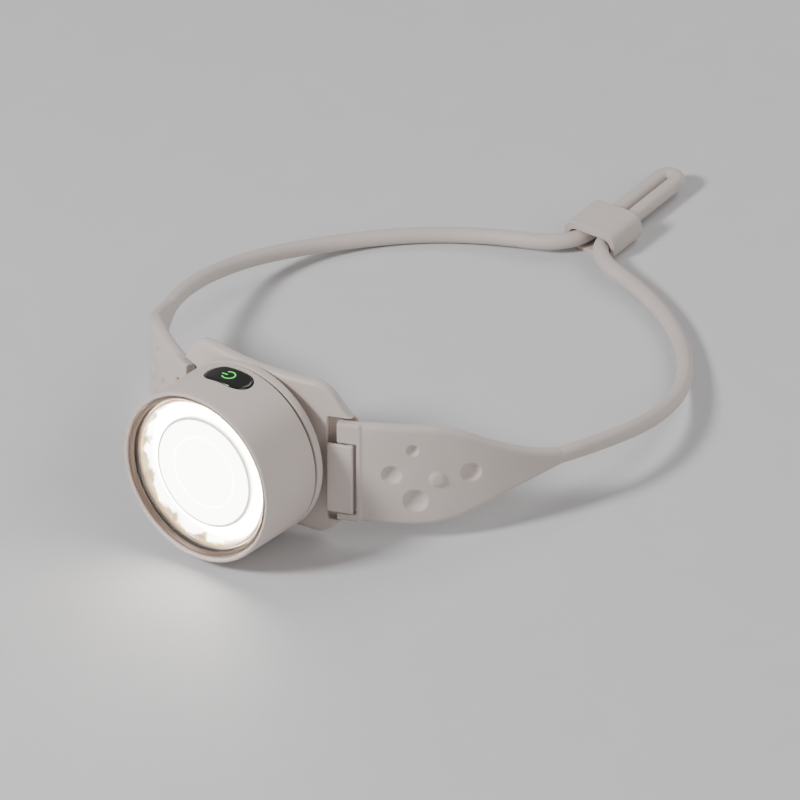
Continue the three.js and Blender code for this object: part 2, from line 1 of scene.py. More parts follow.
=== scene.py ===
"""The visible model of a headlamp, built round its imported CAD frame.

The lamp, plate and arms are laid out in millimetres in an upright frame centred on the lamp's front
rim, with the lamp facing -Y. UPRIGHT leans that frame back and puts it in the CAD frame, in metres.
The cord, its tail and its slider are laid out on the surface itself.
"""
import json
import math

import bmesh
import bpy
from mathutils import Matrix, Vector


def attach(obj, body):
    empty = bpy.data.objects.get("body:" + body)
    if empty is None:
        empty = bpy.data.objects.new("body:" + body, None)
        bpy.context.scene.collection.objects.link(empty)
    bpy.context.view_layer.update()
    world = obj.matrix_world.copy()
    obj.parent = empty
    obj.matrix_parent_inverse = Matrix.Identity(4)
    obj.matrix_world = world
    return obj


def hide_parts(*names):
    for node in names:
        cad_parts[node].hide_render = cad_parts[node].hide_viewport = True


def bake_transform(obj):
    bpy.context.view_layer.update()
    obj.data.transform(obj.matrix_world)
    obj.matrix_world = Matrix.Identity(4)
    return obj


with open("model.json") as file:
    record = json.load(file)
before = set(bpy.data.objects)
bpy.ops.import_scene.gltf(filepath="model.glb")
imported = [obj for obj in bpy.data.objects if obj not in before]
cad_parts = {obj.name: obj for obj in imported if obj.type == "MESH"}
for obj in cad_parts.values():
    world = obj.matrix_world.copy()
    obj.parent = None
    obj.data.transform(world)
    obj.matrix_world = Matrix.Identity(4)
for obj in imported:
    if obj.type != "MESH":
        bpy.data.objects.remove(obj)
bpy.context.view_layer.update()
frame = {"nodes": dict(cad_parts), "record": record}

# ---------- driving dimensions, in millimetres and degrees ----------
MM = 0.001
LEAN = 6.9
UPRIGHT = (
    Matrix.Translation((0, -0.0308, 0.02443))
    @ Matrix.Rotation(-math.radians(LEAN), 4, "X")
    @ Matrix.Scale(MM, 4)
)
ON_SURFACE = Matrix.Scale(MM, 4)
SLIVER = 0.002  # what is thinner than this is left over from a cut and is merged away

LAMP_R = 22
LAMP_LENGTH = 22
CAVITY_R = 20.2
HOUSING_END = 18.5
COVER_START = 19.2
COVER_FLOOR = 20.4
LENS_R = 20.6
LIP_IN = 20.9
SEAT_DEPTH = 3.4
SEAT_R = 19.3
HINGE_Y = 24.2
HINGE_Z = -19.66
KNUCKLE_R = 2
KNUCKLE_GAP = 0.35
PIN_BORE_R = 1.08
LUG_X = (2.4, 5.4)
LUG_WEB_HALF = 1.2
LUG_GAPS = (0.8, 0.1)  # the plate's room on each lug's inner and outer side
KNUCKLE_X = (5.7, 8.7)
KNUCKLE_ROOT_Z = -17.9
PIN_BORE_X = (-10, 10)
SCREW_RING_R = 17.6
SCREW_ANGLES = [35, 145, 215, 325]
SCREW_RECESS_R = 1.95
SCREW_RECESS_Y = LAMP_LENGTH - 0.9
BUTTON_Y = 13.2
BUTTON_LENGTH = 12.6
BUTTON_WIDTH = 7.4
BUTTON_BOTTOM = 18.8
BUTTON_TOP_R = 22.2
BUTTON_EDGE = 0.55  # radius of the cap's rounded edge
BUTTON_INSETS = [0, 0.02, 0.08, 0.18, 0.32, BUTTON_EDGE, 0.9, 1.5, 2.2, 2.9, 3.4, 3.66]
BUTTON_GAP = 0.3
SYMBOL_R = 1.6
SYMBOL_WIDTH = 0.3
SYMBOL_SPAN = (-0.2, 0.04)  # from inside the cap to just above its top
PORT_Y = 13
PORT_HOLE = (9.8, 4)
PORT_RECESS = (6.3, 2.9)
PORT_RECESS_R = 20.85
THROUGH_WALL = (17, 24)  # heights that reach right through the housing's wall

BAND_R = 64
BAND_CENTRE_Y = 87
BAND_Z = -1.5
ARM_THICKNESS = 3.2
PLATE_RADII = (61.4, 64.6)
PLATE_CORNER = 1.1
POCKET_R = 62.6
POCKET_ANGLES = (18, 26)
POCKET_Z = (-15.4, 12.4)
PAD_RADII = (59.8, 61.2)
HOOK_POST_ANGLES = (22.6, 23.9)
HOOK_POST_RADII = (62, 66)
HOOK_LIP_START = 18.4
HOOK_LIP_RADII = (65.35, 66.5)
HOOK_SPAN = (BAND_Z - 10.9, BAND_Z + 7.6)
ARM_FRAME_ANGLES = (20.4, 25.4)
ARM_FRAME_RADII = (63.2, 65.9)
ARM_HALF = 13.2
WINDOW_ANGLES = (18, 24.6)
WINDOW_SPAN = (BAND_Z - 11.2, BAND_Z + 7.9)
BAR_ANGLE = 21.2
BAR_RING_R = 64.05
BAR_R = 1
BEYOND_BAND = 70  # past the outside of anything on the band

CORD_R = 2
CORD_Z = 3.4
RUN_X = 2.4
TAIL_END_Y = 155
SLIDER_FRONT = 122.8
SLIDER_LENGTH = 11.5
SLIDER_WIDTH = 15.5
SLIDER_HEIGHT = 7.8
SLIDER_CORNER = 3.3
SLOT_HEIGHT = 4.6
# (distance behind the slider's front, half-width) of the slot that the cords run in.
SLOT_OUTLINE = [(-1, 6.7), (1.5, 6.0), (5.5, 4.8), (SLIDER_LENGTH + 1, 4.8)]

# Middle line of the right-hand cord, from the arm to the tail's end. The left one mirrors it.
CORD_ROUTE = [
    (59.9, 33.0, 15.2), (61.5, 37.9, 14.5), (62.8, 43.5, 13.5), (63.7, 50.0, 12.1), (64.0, 57.0, 10.4),
    (63.5, 64.4, 8.6), (62.1, 71.6, 6.9), (59.9, 78.4, 5.3), (56.9, 84.9, 4.0), (53.1, 90.9, 3.0),
    (48.5, 96.6, 2.4), (43.2, 101.7, 2.1), (37.3, 106.1, 2.05), (30.9, 109.9, 2.1), (24.2, 112.9, 2.3),
    (17.6, 115.1, 2.7), (11.7, 116.7, 3.1), (7.3, 118.8, 3.3), (4.3, 121.8, 3.4), (2.8, 125.6, 3.4),
    (2.4, 129.6, 3.4), (2.4, 135.5, 3.4), (2.4, 142.0, 3.4), (2.4, 148.5, 3.4), (2.4, 154.7, 3.4),
]
CORD_ROOT_ANGLES = (67.3, 68.3)  # where the cord starts, inside the arm's end


# ---------- camera ----------
def add_camera():
    """A long lens from the front right and above, rolled with the lamp's lean."""
    right = Vector((0.788, 0.61124, -0.07397)).normalized()
    toward = Vector((0.5374, -0.6243, 0.5670)).normalized()
    up = toward.cross(right).normalized()
    lamp_side = Vector((0.032897, 0.008028, 0.035997))
    target = lamp_side - toward * 0.063
    distance = 2.697
    data = bpy.data.cameras.new("camera")
    data.lens = 500
    data.sensor_width = 36
    camera = bpy.data.objects.new("camera", data)
    turn = Matrix((right, up, toward)).transposed().to_4x4()
    camera.matrix_world = Matrix.Translation(target + toward * distance) @ turn
    bpy.context.collection.objects.link(camera)
    bpy.context.scene.camera = camera


# ---------- materials ----------
def procedural(name, color, roughness, grain=0.15, grain_size=0.35, mottle=0.05, spread=0.06, metallic=0.0):
    """A surface with slow colour variation, and a fine grain in its roughness and relief."""
    material = bpy.data.materials.new(name)
    material.use_nodes = True
    nodes = material.node_tree.nodes
    link = material.node_tree.links.new
    shader = nodes["Principled BSDF"]
    shader.inputs["Metallic"].default_value = metallic
    place = nodes.new("ShaderNodeTexCoord")

    slow = nodes.new("ShaderNodeTexNoise")
    slow.inputs["Scale"].default_value = 90
    slow.inputs["Detail"].default_value = 4
    link(place.outputs["Object"], slow.inputs["Vector"])
    shades = nodes.new("ShaderNodeValToRGB")
    for stop, factor in zip(shades.color_ramp.elements, (1 - mottle, 1 + mottle)):
        stop.color = [min(1, channel * factor) for channel in color] + [1]
    shades.color_ramp.elements[0].position = 0.3
    shades.color_ramp.elements[1].position = 0.7
    link(slow.outputs["Fac"], shades.inputs["Fac"])
    link(shades.outputs["Color"], shader.inputs["Base Color"])

    fine = nodes.new("ShaderNodeTexNoise")
    fine.inputs["Scale"].default_value = 1 / (grain_size * MM)
    fine.inputs["Detail"].default_value = 3
    link(place.outputs["Object"], fine.inputs["Vector"])
    rough = nodes.new("ShaderNodeMapRange")
    rough.inputs["To Min"].default_value = max(0.02, roughness - spread)
    rough.inputs["To Max"].default_value = min(1, roughness + spread)
    link(fine.outputs["Fac"], rough.inputs["Value"])
    link(rough.outputs["Result"], shader.inputs["Roughness"])
    bump = nodes.new("ShaderNodeBump")
    bump.inputs["Strength"].default_value = grain
    bump.inputs["Distance"].default_value = 0.05 * MM
    link(fine.outputs["Fac"], bump.inputs["Height"])
    link(bump.outputs["Normal"], shader.inputs["Normal"])
    return material


def lamp_radius(nodes, link):
    """Distance from the lamp's axis in millimetres, as a socket."""
    place = nodes.new("ShaderNodeTexCoord")
    mapping = nodes.new("ShaderNodeMapping")
    mapping.vector_type = "TEXTURE"
    mapping.inputs["Location"].default_value = UPRIGHT.translation
    mapping.inputs["Rotation"].default_value = (-math.radians(LEAN), 0, 0)
    link(place.outputs["Object"], mapping.inputs["Vector"])
    flat = nodes.new("ShaderNodeVectorMath")
    flat.operation = "MULTIPLY"
    flat.inputs[1].default_value = (1 / MM, 0, 1 / MM)
    link(mapping.outputs["Vector"], flat.inputs[0])
    length = nodes.new("ShaderNodeVectorMath")
    length.operation = "LENGTH"
    link(flat.outputs["Vector"], length.inputs[0])
    return length.outputs["Value"]


def radial_glow(material, stops, strength, wander=0.0):
    """Light given off in rings about the lamp's axis; wander breaks the rings up unevenly."""
    nodes = material.node_tree.nodes
    link = material.node_tree.links.new
    shader = nodes["Principled BSDF"]
    scaled = nodes.new("ShaderNodeMath")
    scaled.operation = "DIVIDE"
    scaled.inputs[1].default_value = LAMP_R
    link(lamp_radius(nodes, link), scaled.inputs[0])
    place = nodes.new("ShaderNodeTexCoord")
    noise = nodes.new("ShaderNodeTexNoise")
    noise.inputs["Scale"].default_value = 240
    noise.inputs["Detail"].default_value = 3
    link(place.outputs["Object"], noise.inputs["Vector"])
    shift = nodes.new("ShaderNodeMapRange")
    shift.inputs["From Min"].default_value = 0.3
    shift.inputs["From Max"].default_value = 0.7
    shift.inputs["To Min"].default_value = -wander
    shift.inputs["To Max"].default_value = wander
    link(noise.outputs["Fac"], shift.inputs["Value"])
    uneven = nodes.new("ShaderNodeMath")
    uneven.operation = "ADD"
    link(scaled.outputs["Value"], uneven.inputs[0])
    link(shift.outputs["Result"], uneven.inputs[1])
    glow = nodes.new("ShaderNodeValToRGB")
    ramp = glow.color_ramp.elements
    ramp[0].position = stops[0][0]
    ramp[1].position = stops[-1][0]
    for position, _ in stops[1:-1]:
        ramp.new(position)
    for stop, (_, color) in zip(ramp, stops):
        stop.color = (*color, 1)
    link(uneven.outputs["Value"], glow.inputs["Fac"])
    link(glow.outputs["Color"], shader.inputs["Emission Color"])
    shader.inputs["Emission Strength"].default_value = strength
    return material


def lit_optic():
    """Moulded clear plastic lit from behind, with darker rings where its steps are."""
    material = procedural("optic_clear", (1.0, 0.97, 0.92), 0.15, grain=0.05)
    white = (1.0, 0.98, 0.93)
    dim = (0.10, 0.095, 0.08)
    dark = (0.012, 0.010, 0.008)
    stops = [
        (0.0, white), (0.385, white), (0.40, dim), (0.415, white), (0.60, white), (0.612, dark),
        (0.636, dark), (0.65, dim),
    ]
    return radial_glow(material, stops, 34, wander=0.002)


def lit_reflector():
    """A mirror flooded by the lamp, with the warm edge of the beam breaking up along its rim."""
    material = procedural("reflector_chrome", (0.9, 0.86, 0.78), 0.12, grain=0.3, metallic=1.0)
    stops = [
        (0.0, (1.0, 0.97, 0.90)), (0.785, (1.0, 0.96, 0.86)), (0.81, (0.085, 0.058, 0.002)),
        (0.84, (0.075, 0.022, 0.001)), (0.88, (0.03, 0.012, 0.003)),
    ]
    return radial_glow(material, stops, 11, wander=0.045)


def clear_lens():
    material = procedural("lens_clear", (1, 1, 1), 0.04, grain=0.01, spread=0.02, mottle=0.0)
    shader = material.node_tree.nodes["Principled BSDF"]
    shader.inputs["Transmission Weight"].default_value = 1
    shader.inputs["IOR"].default_value = 1.3
    return material


def power_green():
    material = procedural("power_green", (0.05, 0.7, 0.08), 0.35)
    shader = material.node_tree.nodes["Principled BSDF"]
    shader.inputs["Emission Color"].default_value = (0.05, 0.9, 0.08, 1)
    shader.inputs["Emission Strength"].default_value = 1.1
    return material


def led_emitter():
    material = procedural("led_emitter", (0.95, 0.8, 0.3), 0.4)
    shader = material.node_tree.nodes["Principled BSDF"]
    shader.inputs["Emission Color"].default_value = (1, 0.9, 0.7, 1)
    shader.inputs["Emission Strength"].default_value = 4
    return material


def soft_silicone():
    material = procedural("silicone", (0.56, 0.495, 0.46), 0.6, grain=0.25, grain_size=0.25, mottle=0.03)
    shader = material.node_tree.nodes["Principled BSDF"]
    shader.inputs["Sheen Weight"].default_value = 0.12
    shader.inputs["Sheen Roughness"].default_value = 0.5
    return material


def moulded_plastic():
    material = procedural("shell_plastic", (0.62, 0.54, 0.50), 0.5, grain=0.2, grain_size=0.18, mottle=0.02)
    shader = material.node_tree.nodes["Principled BSDF"]
    shader.inputs["Sheen Weight"].default_value = 0.05
    return material


MATERIALS = {
    "shell_plastic": moulded_plastic(),
    "silicone": soft_silicone(),
    "button_gloss": procedural("button_gloss", (0.012, 0.013, 0.013), 0.16, grain=0.03, spread=0.04),
    "power_green": power_green(),
    "lens_clear": clear_lens(),
    "optic_clear": lit_optic(),
    "reflector_chrome": lit_reflector(),
    "bezel_bronze": procedural("bezel_bronze", (0.24, 0.165, 0.125), 0.35, grain=0.1, metallic=0.6),
    "seal_rubber": procedural("seal_rubber", (0.09, 0.085, 0.08), 0.75, grain=0.3),
    "circuit_board": procedural(
        "circuit_board", (0.02, 0.12, 0.05), 0.45, grain=0.3, grain_size=0.8, mottle=0.2,
    ),
    "board_white": procedural(
        "board_white", (0.8, 0.79, 0.75), 0.4, grain=0.3, grain_size=0.8, mottle=0.04,
    ),
    "aluminium": procedural("aluminium", (0.55, 0.56, 0.57), 0.35, grain=0.3, grain_size=0.2, metallic=1.0),
    "steel": procedural("steel", (0.45, 0.46, 0.47), 0.3, grain=0.25, grain_size=0.15, metallic=1.0),
    "led_emitter": led_emitter(),
    "battery_wrap": procedural(
        "battery_wrap", (0.5, 0.52, 0.54), 0.4, grain=0.6, grain_size=1.5, metallic=0.8,
    ),
    "wire_red": procedural("wire_red", (0.42, 0.02, 0.015), 0.45, grain=0.1),
    "wire_black": procedural("wire_black", (0.012, 0.012, 0.012), 0.45, grain=0.1),
}


# ---------- mesh helpers ----------
def to_object(name, verts, faces):
    mesh = bpy.data.meshes.new(name)
    mesh.from_pydata([tuple(v) for v in verts], [], faces)
    bm = bmesh.new()
    bm.from_mesh(mesh)
    bmesh.ops.remove_doubles(bm, verts=bm.verts, dist=1e-4)
    bmesh.ops.dissolve_degenerate(bm, edges=bm.edges, dist=1e-5)
    bmesh.ops.recalc_face_normals(bm, faces=bm.faces)
    bm.to_mesh(mesh)
    bm.free()
    obj = bpy.data.objects.new(name, mesh)
    bpy.context.collection.objects.link(obj)
    return obj


def loft(rings):
    """A closed skin over rings of points that all have the same count."""
    count = len(rings[0])
    verts = [point for ring in rings for point in ring]
    faces = [
        (i * count + j, i * count + (j + 1) % count, (i + 1) * count + (j + 1) % count, (i + 1) * count + j)
        for i in range(len(rings) - 1)
        for j in range(count)
    ]
    faces.append(tuple(reversed(range(count))))
    last = (len(rings) - 1) * count
    faces.append(tuple(range(last, last + count)))
    return verts, faces


def lathe(profile, segments=144):
    """A closed profile of (radius, y) corners turned about the Y axis."""
    count = len(profile)
    verts = []
    for i in range(segments):
        turn = 2 * math.pi * i / segments
        verts += [(r * math.cos(turn), y, r * math.sin(turn)) for r, y in profile]
    faces = []
    for i in range(segments):
        here = i * count
        there = ((i + 1) % segments) * count
        for j in range(count):
            k = (j + 1) % count
            faces.append((here + j, here + k, there + k, there + j))
    return verts, faces


def rounded(profile, radius, steps=4):
    """The profile with each corner off the axis turned into a short curve."""
    points = []
    for i, here in enumerate(profile):
        here = Vector(here)
        before = Vector(profile[i - 1])
        after = Vector(profile[(i + 1) % len(profile)])
        if here.x < 1e-6:
            points.append(tuple(here))
            continue
        reach = min(radius, 0.45 * (before - here).length, 0.45 * (after - here).length)
        start = here + (before - here).normalized() * reach
        end = here + (after - here).normalized() * reach
        for step in range(steps + 1):
            t = step / steps
            points.append(tuple(start * (1 - t) ** 2 + here * (2 * t * (1 - t)) + end * t ** 2))
    return points


def prism(outline, axis, low, high):
    """An outline of 2D points pushed along an axis from low to high."""
    places = {
        "X": lambda a, b, h: (h, a, b),
        "Y": lambda a, b, h: (a, h, b),
        "Z": lambda a, b, h: (a, b, h),
    }
    place = places[axis]
    return loft([[place(a, b, h) for a, b in outline] for h in (low, high)])


def box_outline(a, b):
    return [(a[0], b[0]), (a[1], b[0]), (a[1], b[1]), (a[0], b[1])]


def disc_outline(a, b, radius, sides=32):
    turns = [2 * math.pi * i / sides for i in range(sides)]
    return [(a + radius * math.cos(t), b + radius * math.sin(t)) for t in turns]


def stadium_outline(length, width, centre_b=0, steps=16, side_steps=10):
    """Two half circles joined by straight sides that have points all along them."""
    r = width / 2
    reach = length / 2 - r
    points = []
    for side in (1, -1):
        for i in range(steps + 1):
            turn = math.pi * i / steps - side * math.pi / 2
            points.append((side * reach + r * math.cos(turn), centre_b + r * math.sin(turn)))
        for i in range(1, side_steps):
            points.append((side * reach * (1 - 2 * i / side_steps), centre_b + side * r))
    return points


def apply_modifiers(obj):
    made = bpy.data.meshes.new_from_object(obj.evaluated_get(bpy.context.evaluated_depsgraph_get()))
    obj.modifiers.clear()
    obj.data = made


def combine(obj, shapes, operation):
    """Joins shapes to obj, or cuts them from it."""
    for i, shape in enumerate(shapes):
        tool = to_object(f"{obj.name}_tool_{i}", *shape)
        modifier = obj.modifiers.new("combine", "BOOLEAN")
        modifier.operation = operation
        modifier.solver = "EXACT"
        modifier.object = tool
        apply_modifiers(obj)
        bpy.data.objects.remove(tool)


def soften(obj, voxel, rounds):
    """Turns obj into one even skin and rounds its edges, as a moulded piece has."""
    remesh = obj.modifiers.new("remesh", "REMESH")
    remesh.mode = "VOXEL"
    remesh.voxel_size = voxel
    smooth = obj.modifiers.new("smooth", "SMOOTH")
    smooth.iterations = rounds
    apply_modifiers(obj)


def finish_piece(obj, place, slot, body, nodes=(), crease=35):
    """Puts a piece in the CAD frame, shades it, and ties it to its body, material and CAD nodes."""
    bm = bmesh.new()
    bm.from_mesh(obj.data)
    bmesh.ops.remove_doubles(bm, verts=bm.verts, dist=SLIVER)
    bmesh.ops.dissolve_degenerate(bm, edges=bm.edges, dist=SLIVER)
    bmesh.ops.triangulate(bm, faces=[face for face in bm.faces if len(face.verts) > 4])
    bmesh.ops.dissolve_degenerate(bm, edges=bm.edges, dist=SLIVER)
    loose = [vert for vert in bm.verts if not vert.link_faces]
    bmesh.ops.delete(bm, geom=loose, context="VERTS")
    bm.transform(place)
    for face in bm.faces:
        face.smooth = True
    for edge in bm.edges:
        edge.smooth = len(edge.link_faces) == 2 and edge.calc_face_angle(0) < math.radians(crease)
    bm.to_mesh(obj.data)
    bm.free()
    obj.data.materials.clear()
    obj.data.materials.append(MATERIALS[slot])
    if nodes:
        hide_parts(*nodes)
    if body:
        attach(obj, body)
    return obj


# ---------- the band's circle ----------
def band_point(angle, radius, z):
    turn = math.radians(angle)
    return Vector((radius * math.sin(turn), BAND_CENTRE_Y - radius * math.cos(turn), z))


def band_ring(angle, radii, heights, corner, steps=5):
    """A rounded rectangle standing across the band's circle."""
    inner, outer = radii
    low, high = heights
    ring = []
    corners = [
        (outer - corner, high - corner, 0), (inner + corner, high - corner, 90),
        (inner + corner, low + corner, 180), (outer - corner, low + corner, 270),
    ]
    for radius, z, start in corners:
        for step in range(steps + 1):
            turn = math.radians(start + 90 * step / steps)
            ring.append(band_point(angle, radius + corner * math.cos(turn), z + corner * math.sin(turn)))
    return ring


def band_block(side, angles, radii, heights, corner=0.05):
    steps = max(2, math.ceil((angles[1] - angles[0]) / 0.8))
    span = angles[1] - angles[0]
    return loft([
        band_ring(side * (angles[0] + span * i / steps), radii, heights, corner) for i in range(steps + 1)
    ])


def smooth_rows(rows, step):
    """Rows of numbers, keyed by the first, filled in along a smooth curve every step."""
    filled = []
    for i in range(len(rows) - 1):
        before = rows[max(i - 1, 0)]
        here, there = rows[i], rows[i + 1]
        after = rows[min(i + 2, len(rows) - 1)]
        count = max(1, round((there[0] - here[0]) / step))
        for k in range(count):
            t = k / count
            row = [here[0] + (there[0] - here[0]) * t]
            for a, b, c, d in zip(before[1:], here[1:], there[1:], after[1:]):
                square = (2 * a - 5 * b + 4 * c - d) * t ** 2
                cube = (3 * b - a - 3 * c + d) * t ** 3
                row.append(0.5 * (2 * b + (c - a) * t + square + cube))
            filled.append(row)
    filled.append(list(rows[-1]))
    return filled


# ---------- cords ----------
def smooth_path(points, per_span):
    """Points along a smooth curve through the given ones."""
    rows = [(i, *p) for i, p in enumerate(points)]
    return [Vector(row[1:]) for row in smooth_rows(rows, 1 / per_span)]


def tube(path, radii, sides=28):
    """A round skin along a path, with its section carried along without twisting."""
    rings = []
    across = Vector((0, 0, 1))
    for i, point in enumerate(path):
        ahead = (path[min(i + 1, len(path) - 1)] - path[max(i - 1, 0)]).normalized()
        across = (across - ahead * across.dot(ahead)).normalized()
        beside = ahead.cross(across)
        ring = []
        for k in range(sides):
            turn = 2 * math.pi * k / sides
            ring.append(point + (across * math.cos(turn) + beside * math.sin(turn)) * radii[i])
        rings.append(ring)
    return loft(rings)


def add_cord(side, name):
    route = [Vector((side * x, y, z)) for x, y, z in CORD_ROUTE]
    inside_arm = []
    for angle in CORD_ROOT_ANGLES:
        inside_arm.append(UPRIGHT @ band_point(side * angle, BAND_R, BAND_Z) / MM)
    path = smooth_path(inside_arm + route, 6)
    radii = [CORD_R - 0.15 * max(0, 1 - i / 10) for i in range(len(path))]
    cord = to_object(f"{name}_visible", *tube(path, radii))
    finish_piece(cord, ON_SURFACE, "silicone", None, [name], crease=60)
    metres = [tuple(p * MM) for p in route]
    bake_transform(cord)
    return cord, metres


def add_tail_end():
    """The moulded end where the two runs of the tail turn into each other."""
    steps = 24
    path = [Vector((RUN_X, TAIL_END_Y - 0.6, CORD_Z))]
    for i in range(steps + 1):
        turn = math.pi * i / steps
        path.append(Vector((RUN_X * math.cos(turn), TAIL_END_Y + RUN_X * math.sin(turn), CORD_Z)))
    path.append(Vector((-RUN_X, TAIL_END_Y - 0.6, CORD_Z)))
    tail = to_object("tail_end_visible", *tube(path, [CORD_R] * len(path)))
    return finish_piece(tail, ON_SURFACE, "silicone", "bracket", ["tail_end"], crease=60)


def add_slider():
    half = SLIDER_WIDTH / 2
    low, high = SLIDER_CORNER, SLIDER_HEIGHT - SLIDER_CORNER
    inner = half - SLIDER_CORNER
    outline = []
    for x, z, start in [(inner, low, -90), (inner, high, 0), (-inner, high, 90), (-inner, low, 180)]:
        for step in range(9):
            turn = math.radians(start + 90 * step / 8)
            outline.append((x + SLIDER_CORNER * math.cos(turn), z + SLIDER_CORNER * math.sin(turn)))
    body = prism(outline, "Y", SLIDER_FRONT, SLIDER_FRONT + SLIDER_LENGTH)
    slider = to_object("slider_visible", *body)
    slot_rings = []
    for y, half_width in SLOT_OUTLINE:
        slot = stadium_outline(2 * half_width, SLOT_HEIGHT, CORD_Z)
        slot_rings.append([(x, SLIDER_FRONT + y, z) for x, z in slot])
    combine(slider, [loft(slot_rings)], "DIFFERENCE")
    soften(slider, 0.2, 6)
    return finish_piece(slider, ON_SURFACE, "silicone", "slider", ["slider"], crease=70)


def add_cords():
    tail = add_tail_end()
    slider = add_slider()
    for side, name, pieces in ((1, "cord_right", [slider, tail]), (-1, "cord_left", [])):
        cord, path = add_cord(side, name)


# ---------- lamp ----------
def ring_point(angle, radius):
    return radius * math.cos(math.radians(angle)), radius * math.sin(math.radians(angle))


def port_recess():
    """The shallow pocket that the port's cover lies in."""
    half, reach = PORT_RECESS
    spread = math.asin(half / PORT_RECESS_R)
    turns = [spread * (i / 8 - 1) for i in range(17)]
    outline = [(PORT_RECESS_R * math.sin(t), -PORT_RECESS_R * math.cos(t)) for t in turns]
    outline += [(half, -24), (-half, -24)]
    return prism(outline, "Y", PORT_Y - reach, PORT_Y + reach)


def add_shell():
    wall = rounded([
        (LIP_IN, 0.5), (21.2, 0.1), (21.6, 0), (21.9, 0.3), (LAMP_R, 0.8), (LAMP_R, HOUSING_END),
        (CAVITY_R, HOUSING_END), (CAVITY_R, 4.2), (SEAT_R, 4.2), (SEAT_R, SEAT_DEPTH), (LIP_IN, SEAT_DEPTH),
    ], 0.25)
    shell = to_object("lamp_shell_visible", *lathe(wall))
    hole_size = (BUTTON_LENGTH + 2 * BUTTON_GAP, BUTTON_WIDTH + 2 * BUTTON_GAP)
    button_hole = prism(stadium_outline(*hole_size, BUTTON_Y), "Z", *THROUGH_WALL)
    port_hole = prism(stadium_outline(*PORT_HOLE, PORT_Y), "Z", -24, -18)
    combine(shell, [button_hole, port_hole, port_recess()], "DIFFERENCE")
    return finish_piece(shell, UPRIGHT, "shell_plastic", "lamp", ["lamp_shell"])


def add_cover():
    cup = rounded([
        (0, LAMP_LENGTH), (20.9, LAMP_LENGTH), (21.6, 21.7), (LAMP_R, 21), (LAMP_R, COVER_START),
        (CAVITY_R, COVER_START), (CAVITY_R, COVER_FLOOR), (0, COVER_FLOOR),
    ], 0.3)
    cover = to_object("back_cover_visible", *lathe(cup))
    lugs = []
    web = (HINGE_Z - LUG_WEB_HALF, HINGE_Z + LUG_WEB_HALF)
    for side in (1, -1):
        x = sorted(side * end for end in LUG_X)
        lugs.append(prism(disc_outline(HINGE_Y, HINGE_Z, KNUCKLE_R), "X", *x))
        lugs.append(prism(box_outline((LAMP_LENGTH - 1, HINGE_Y), web), "X", *x))
    combine(cover, lugs, "UNION")
    cuts = [prism(disc_outline(HINGE_Y, HINGE_Z, PIN_BORE_R), "X", *PIN_BORE_X)]
    for angle in SCREW_ANGLES:
        x, z = ring_point(angle, SCREW_RING_R)
        cuts.append(prism(disc_outline(x, z, SCREW_RECESS_R), "Y", SCREW_RECESS_Y, LAMP_LENGTH + 1))
    combine(cover, cuts, "DIFFERENCE")
    return finish_piece(cover, UPRIGHT, "shell_plastic", "lamp", ["back_cover"])


def add_front():
    """The ring, lens, reflector and optic in the lamp's mouth."""
    pieces = {
        "bezel_ring": ([(LENS_R, 0.7), (LENS_R, 1.4), (19.6, 1.4), (20.2, 0.7)], 0.1, "bezel_bronze"),
        "front_lens": ([(0, 1.6), (LENS_R, 1.6), (LENS_R, 2.8), (0, 2.8)], 0.2, "lens_clear"),
        "reflector": ([
            (19, 3.1), (19, 3.9), (17.8, 5.2), (15.9, 7.4), (14.3, 9.7), (13.3, 9.7), (14.9, 7.2),
            (17, 4.8), (18.4, 3.1),
        ], 0.4, "reflector_chrome"),
        "center_optic": ([
            (0, 3.5), (8.6, 3.7), (8.9, 4.2), (9.3, 3.8), (13.9, 3.8), (14.2, 4.1), (14.2, 4.8),
            (9, 4.8), (4.2, 9.8), (2.9, 9.8), (2.9, 9), (0, 8.6),
        ], 0.2, "optic_clear"),
    }
    for node, (profile, radius, slot) in pieces.items():
        piece = to_object(f"{node}_visible", *lathe(rounded(profile, radius)))
        finish_piece(piece, UPRIGHT, slot, "lamp", [node])


def button_top(x):
    return math.sqrt(BUTTON_TOP_R ** 2 - x ** 2)


def on_button(points, width):
    """A thin strip that lies on the button's crowned top along points laid out from its middle."""
    low, high = SYMBOL_SPAN
    rings = []
    for i, point in enumerate(points):
        ahead = (points[min(i + 1, len(points) - 1)] - points[max(i - 1, 0)]).normalized()
        beside = Vector((-ahead.y, ahead.x)) * width / 2
        ring = []
        for edge, lift in ((beside, low), (-beside, low), (-beside, high), (beside, high)):
            corner = point + edge
            ring.append(Vector((corner.x, BUTTON_Y + corner.y, button_top(corner.x) + lift)))
        rings.append(ring)
    return loft(rings)


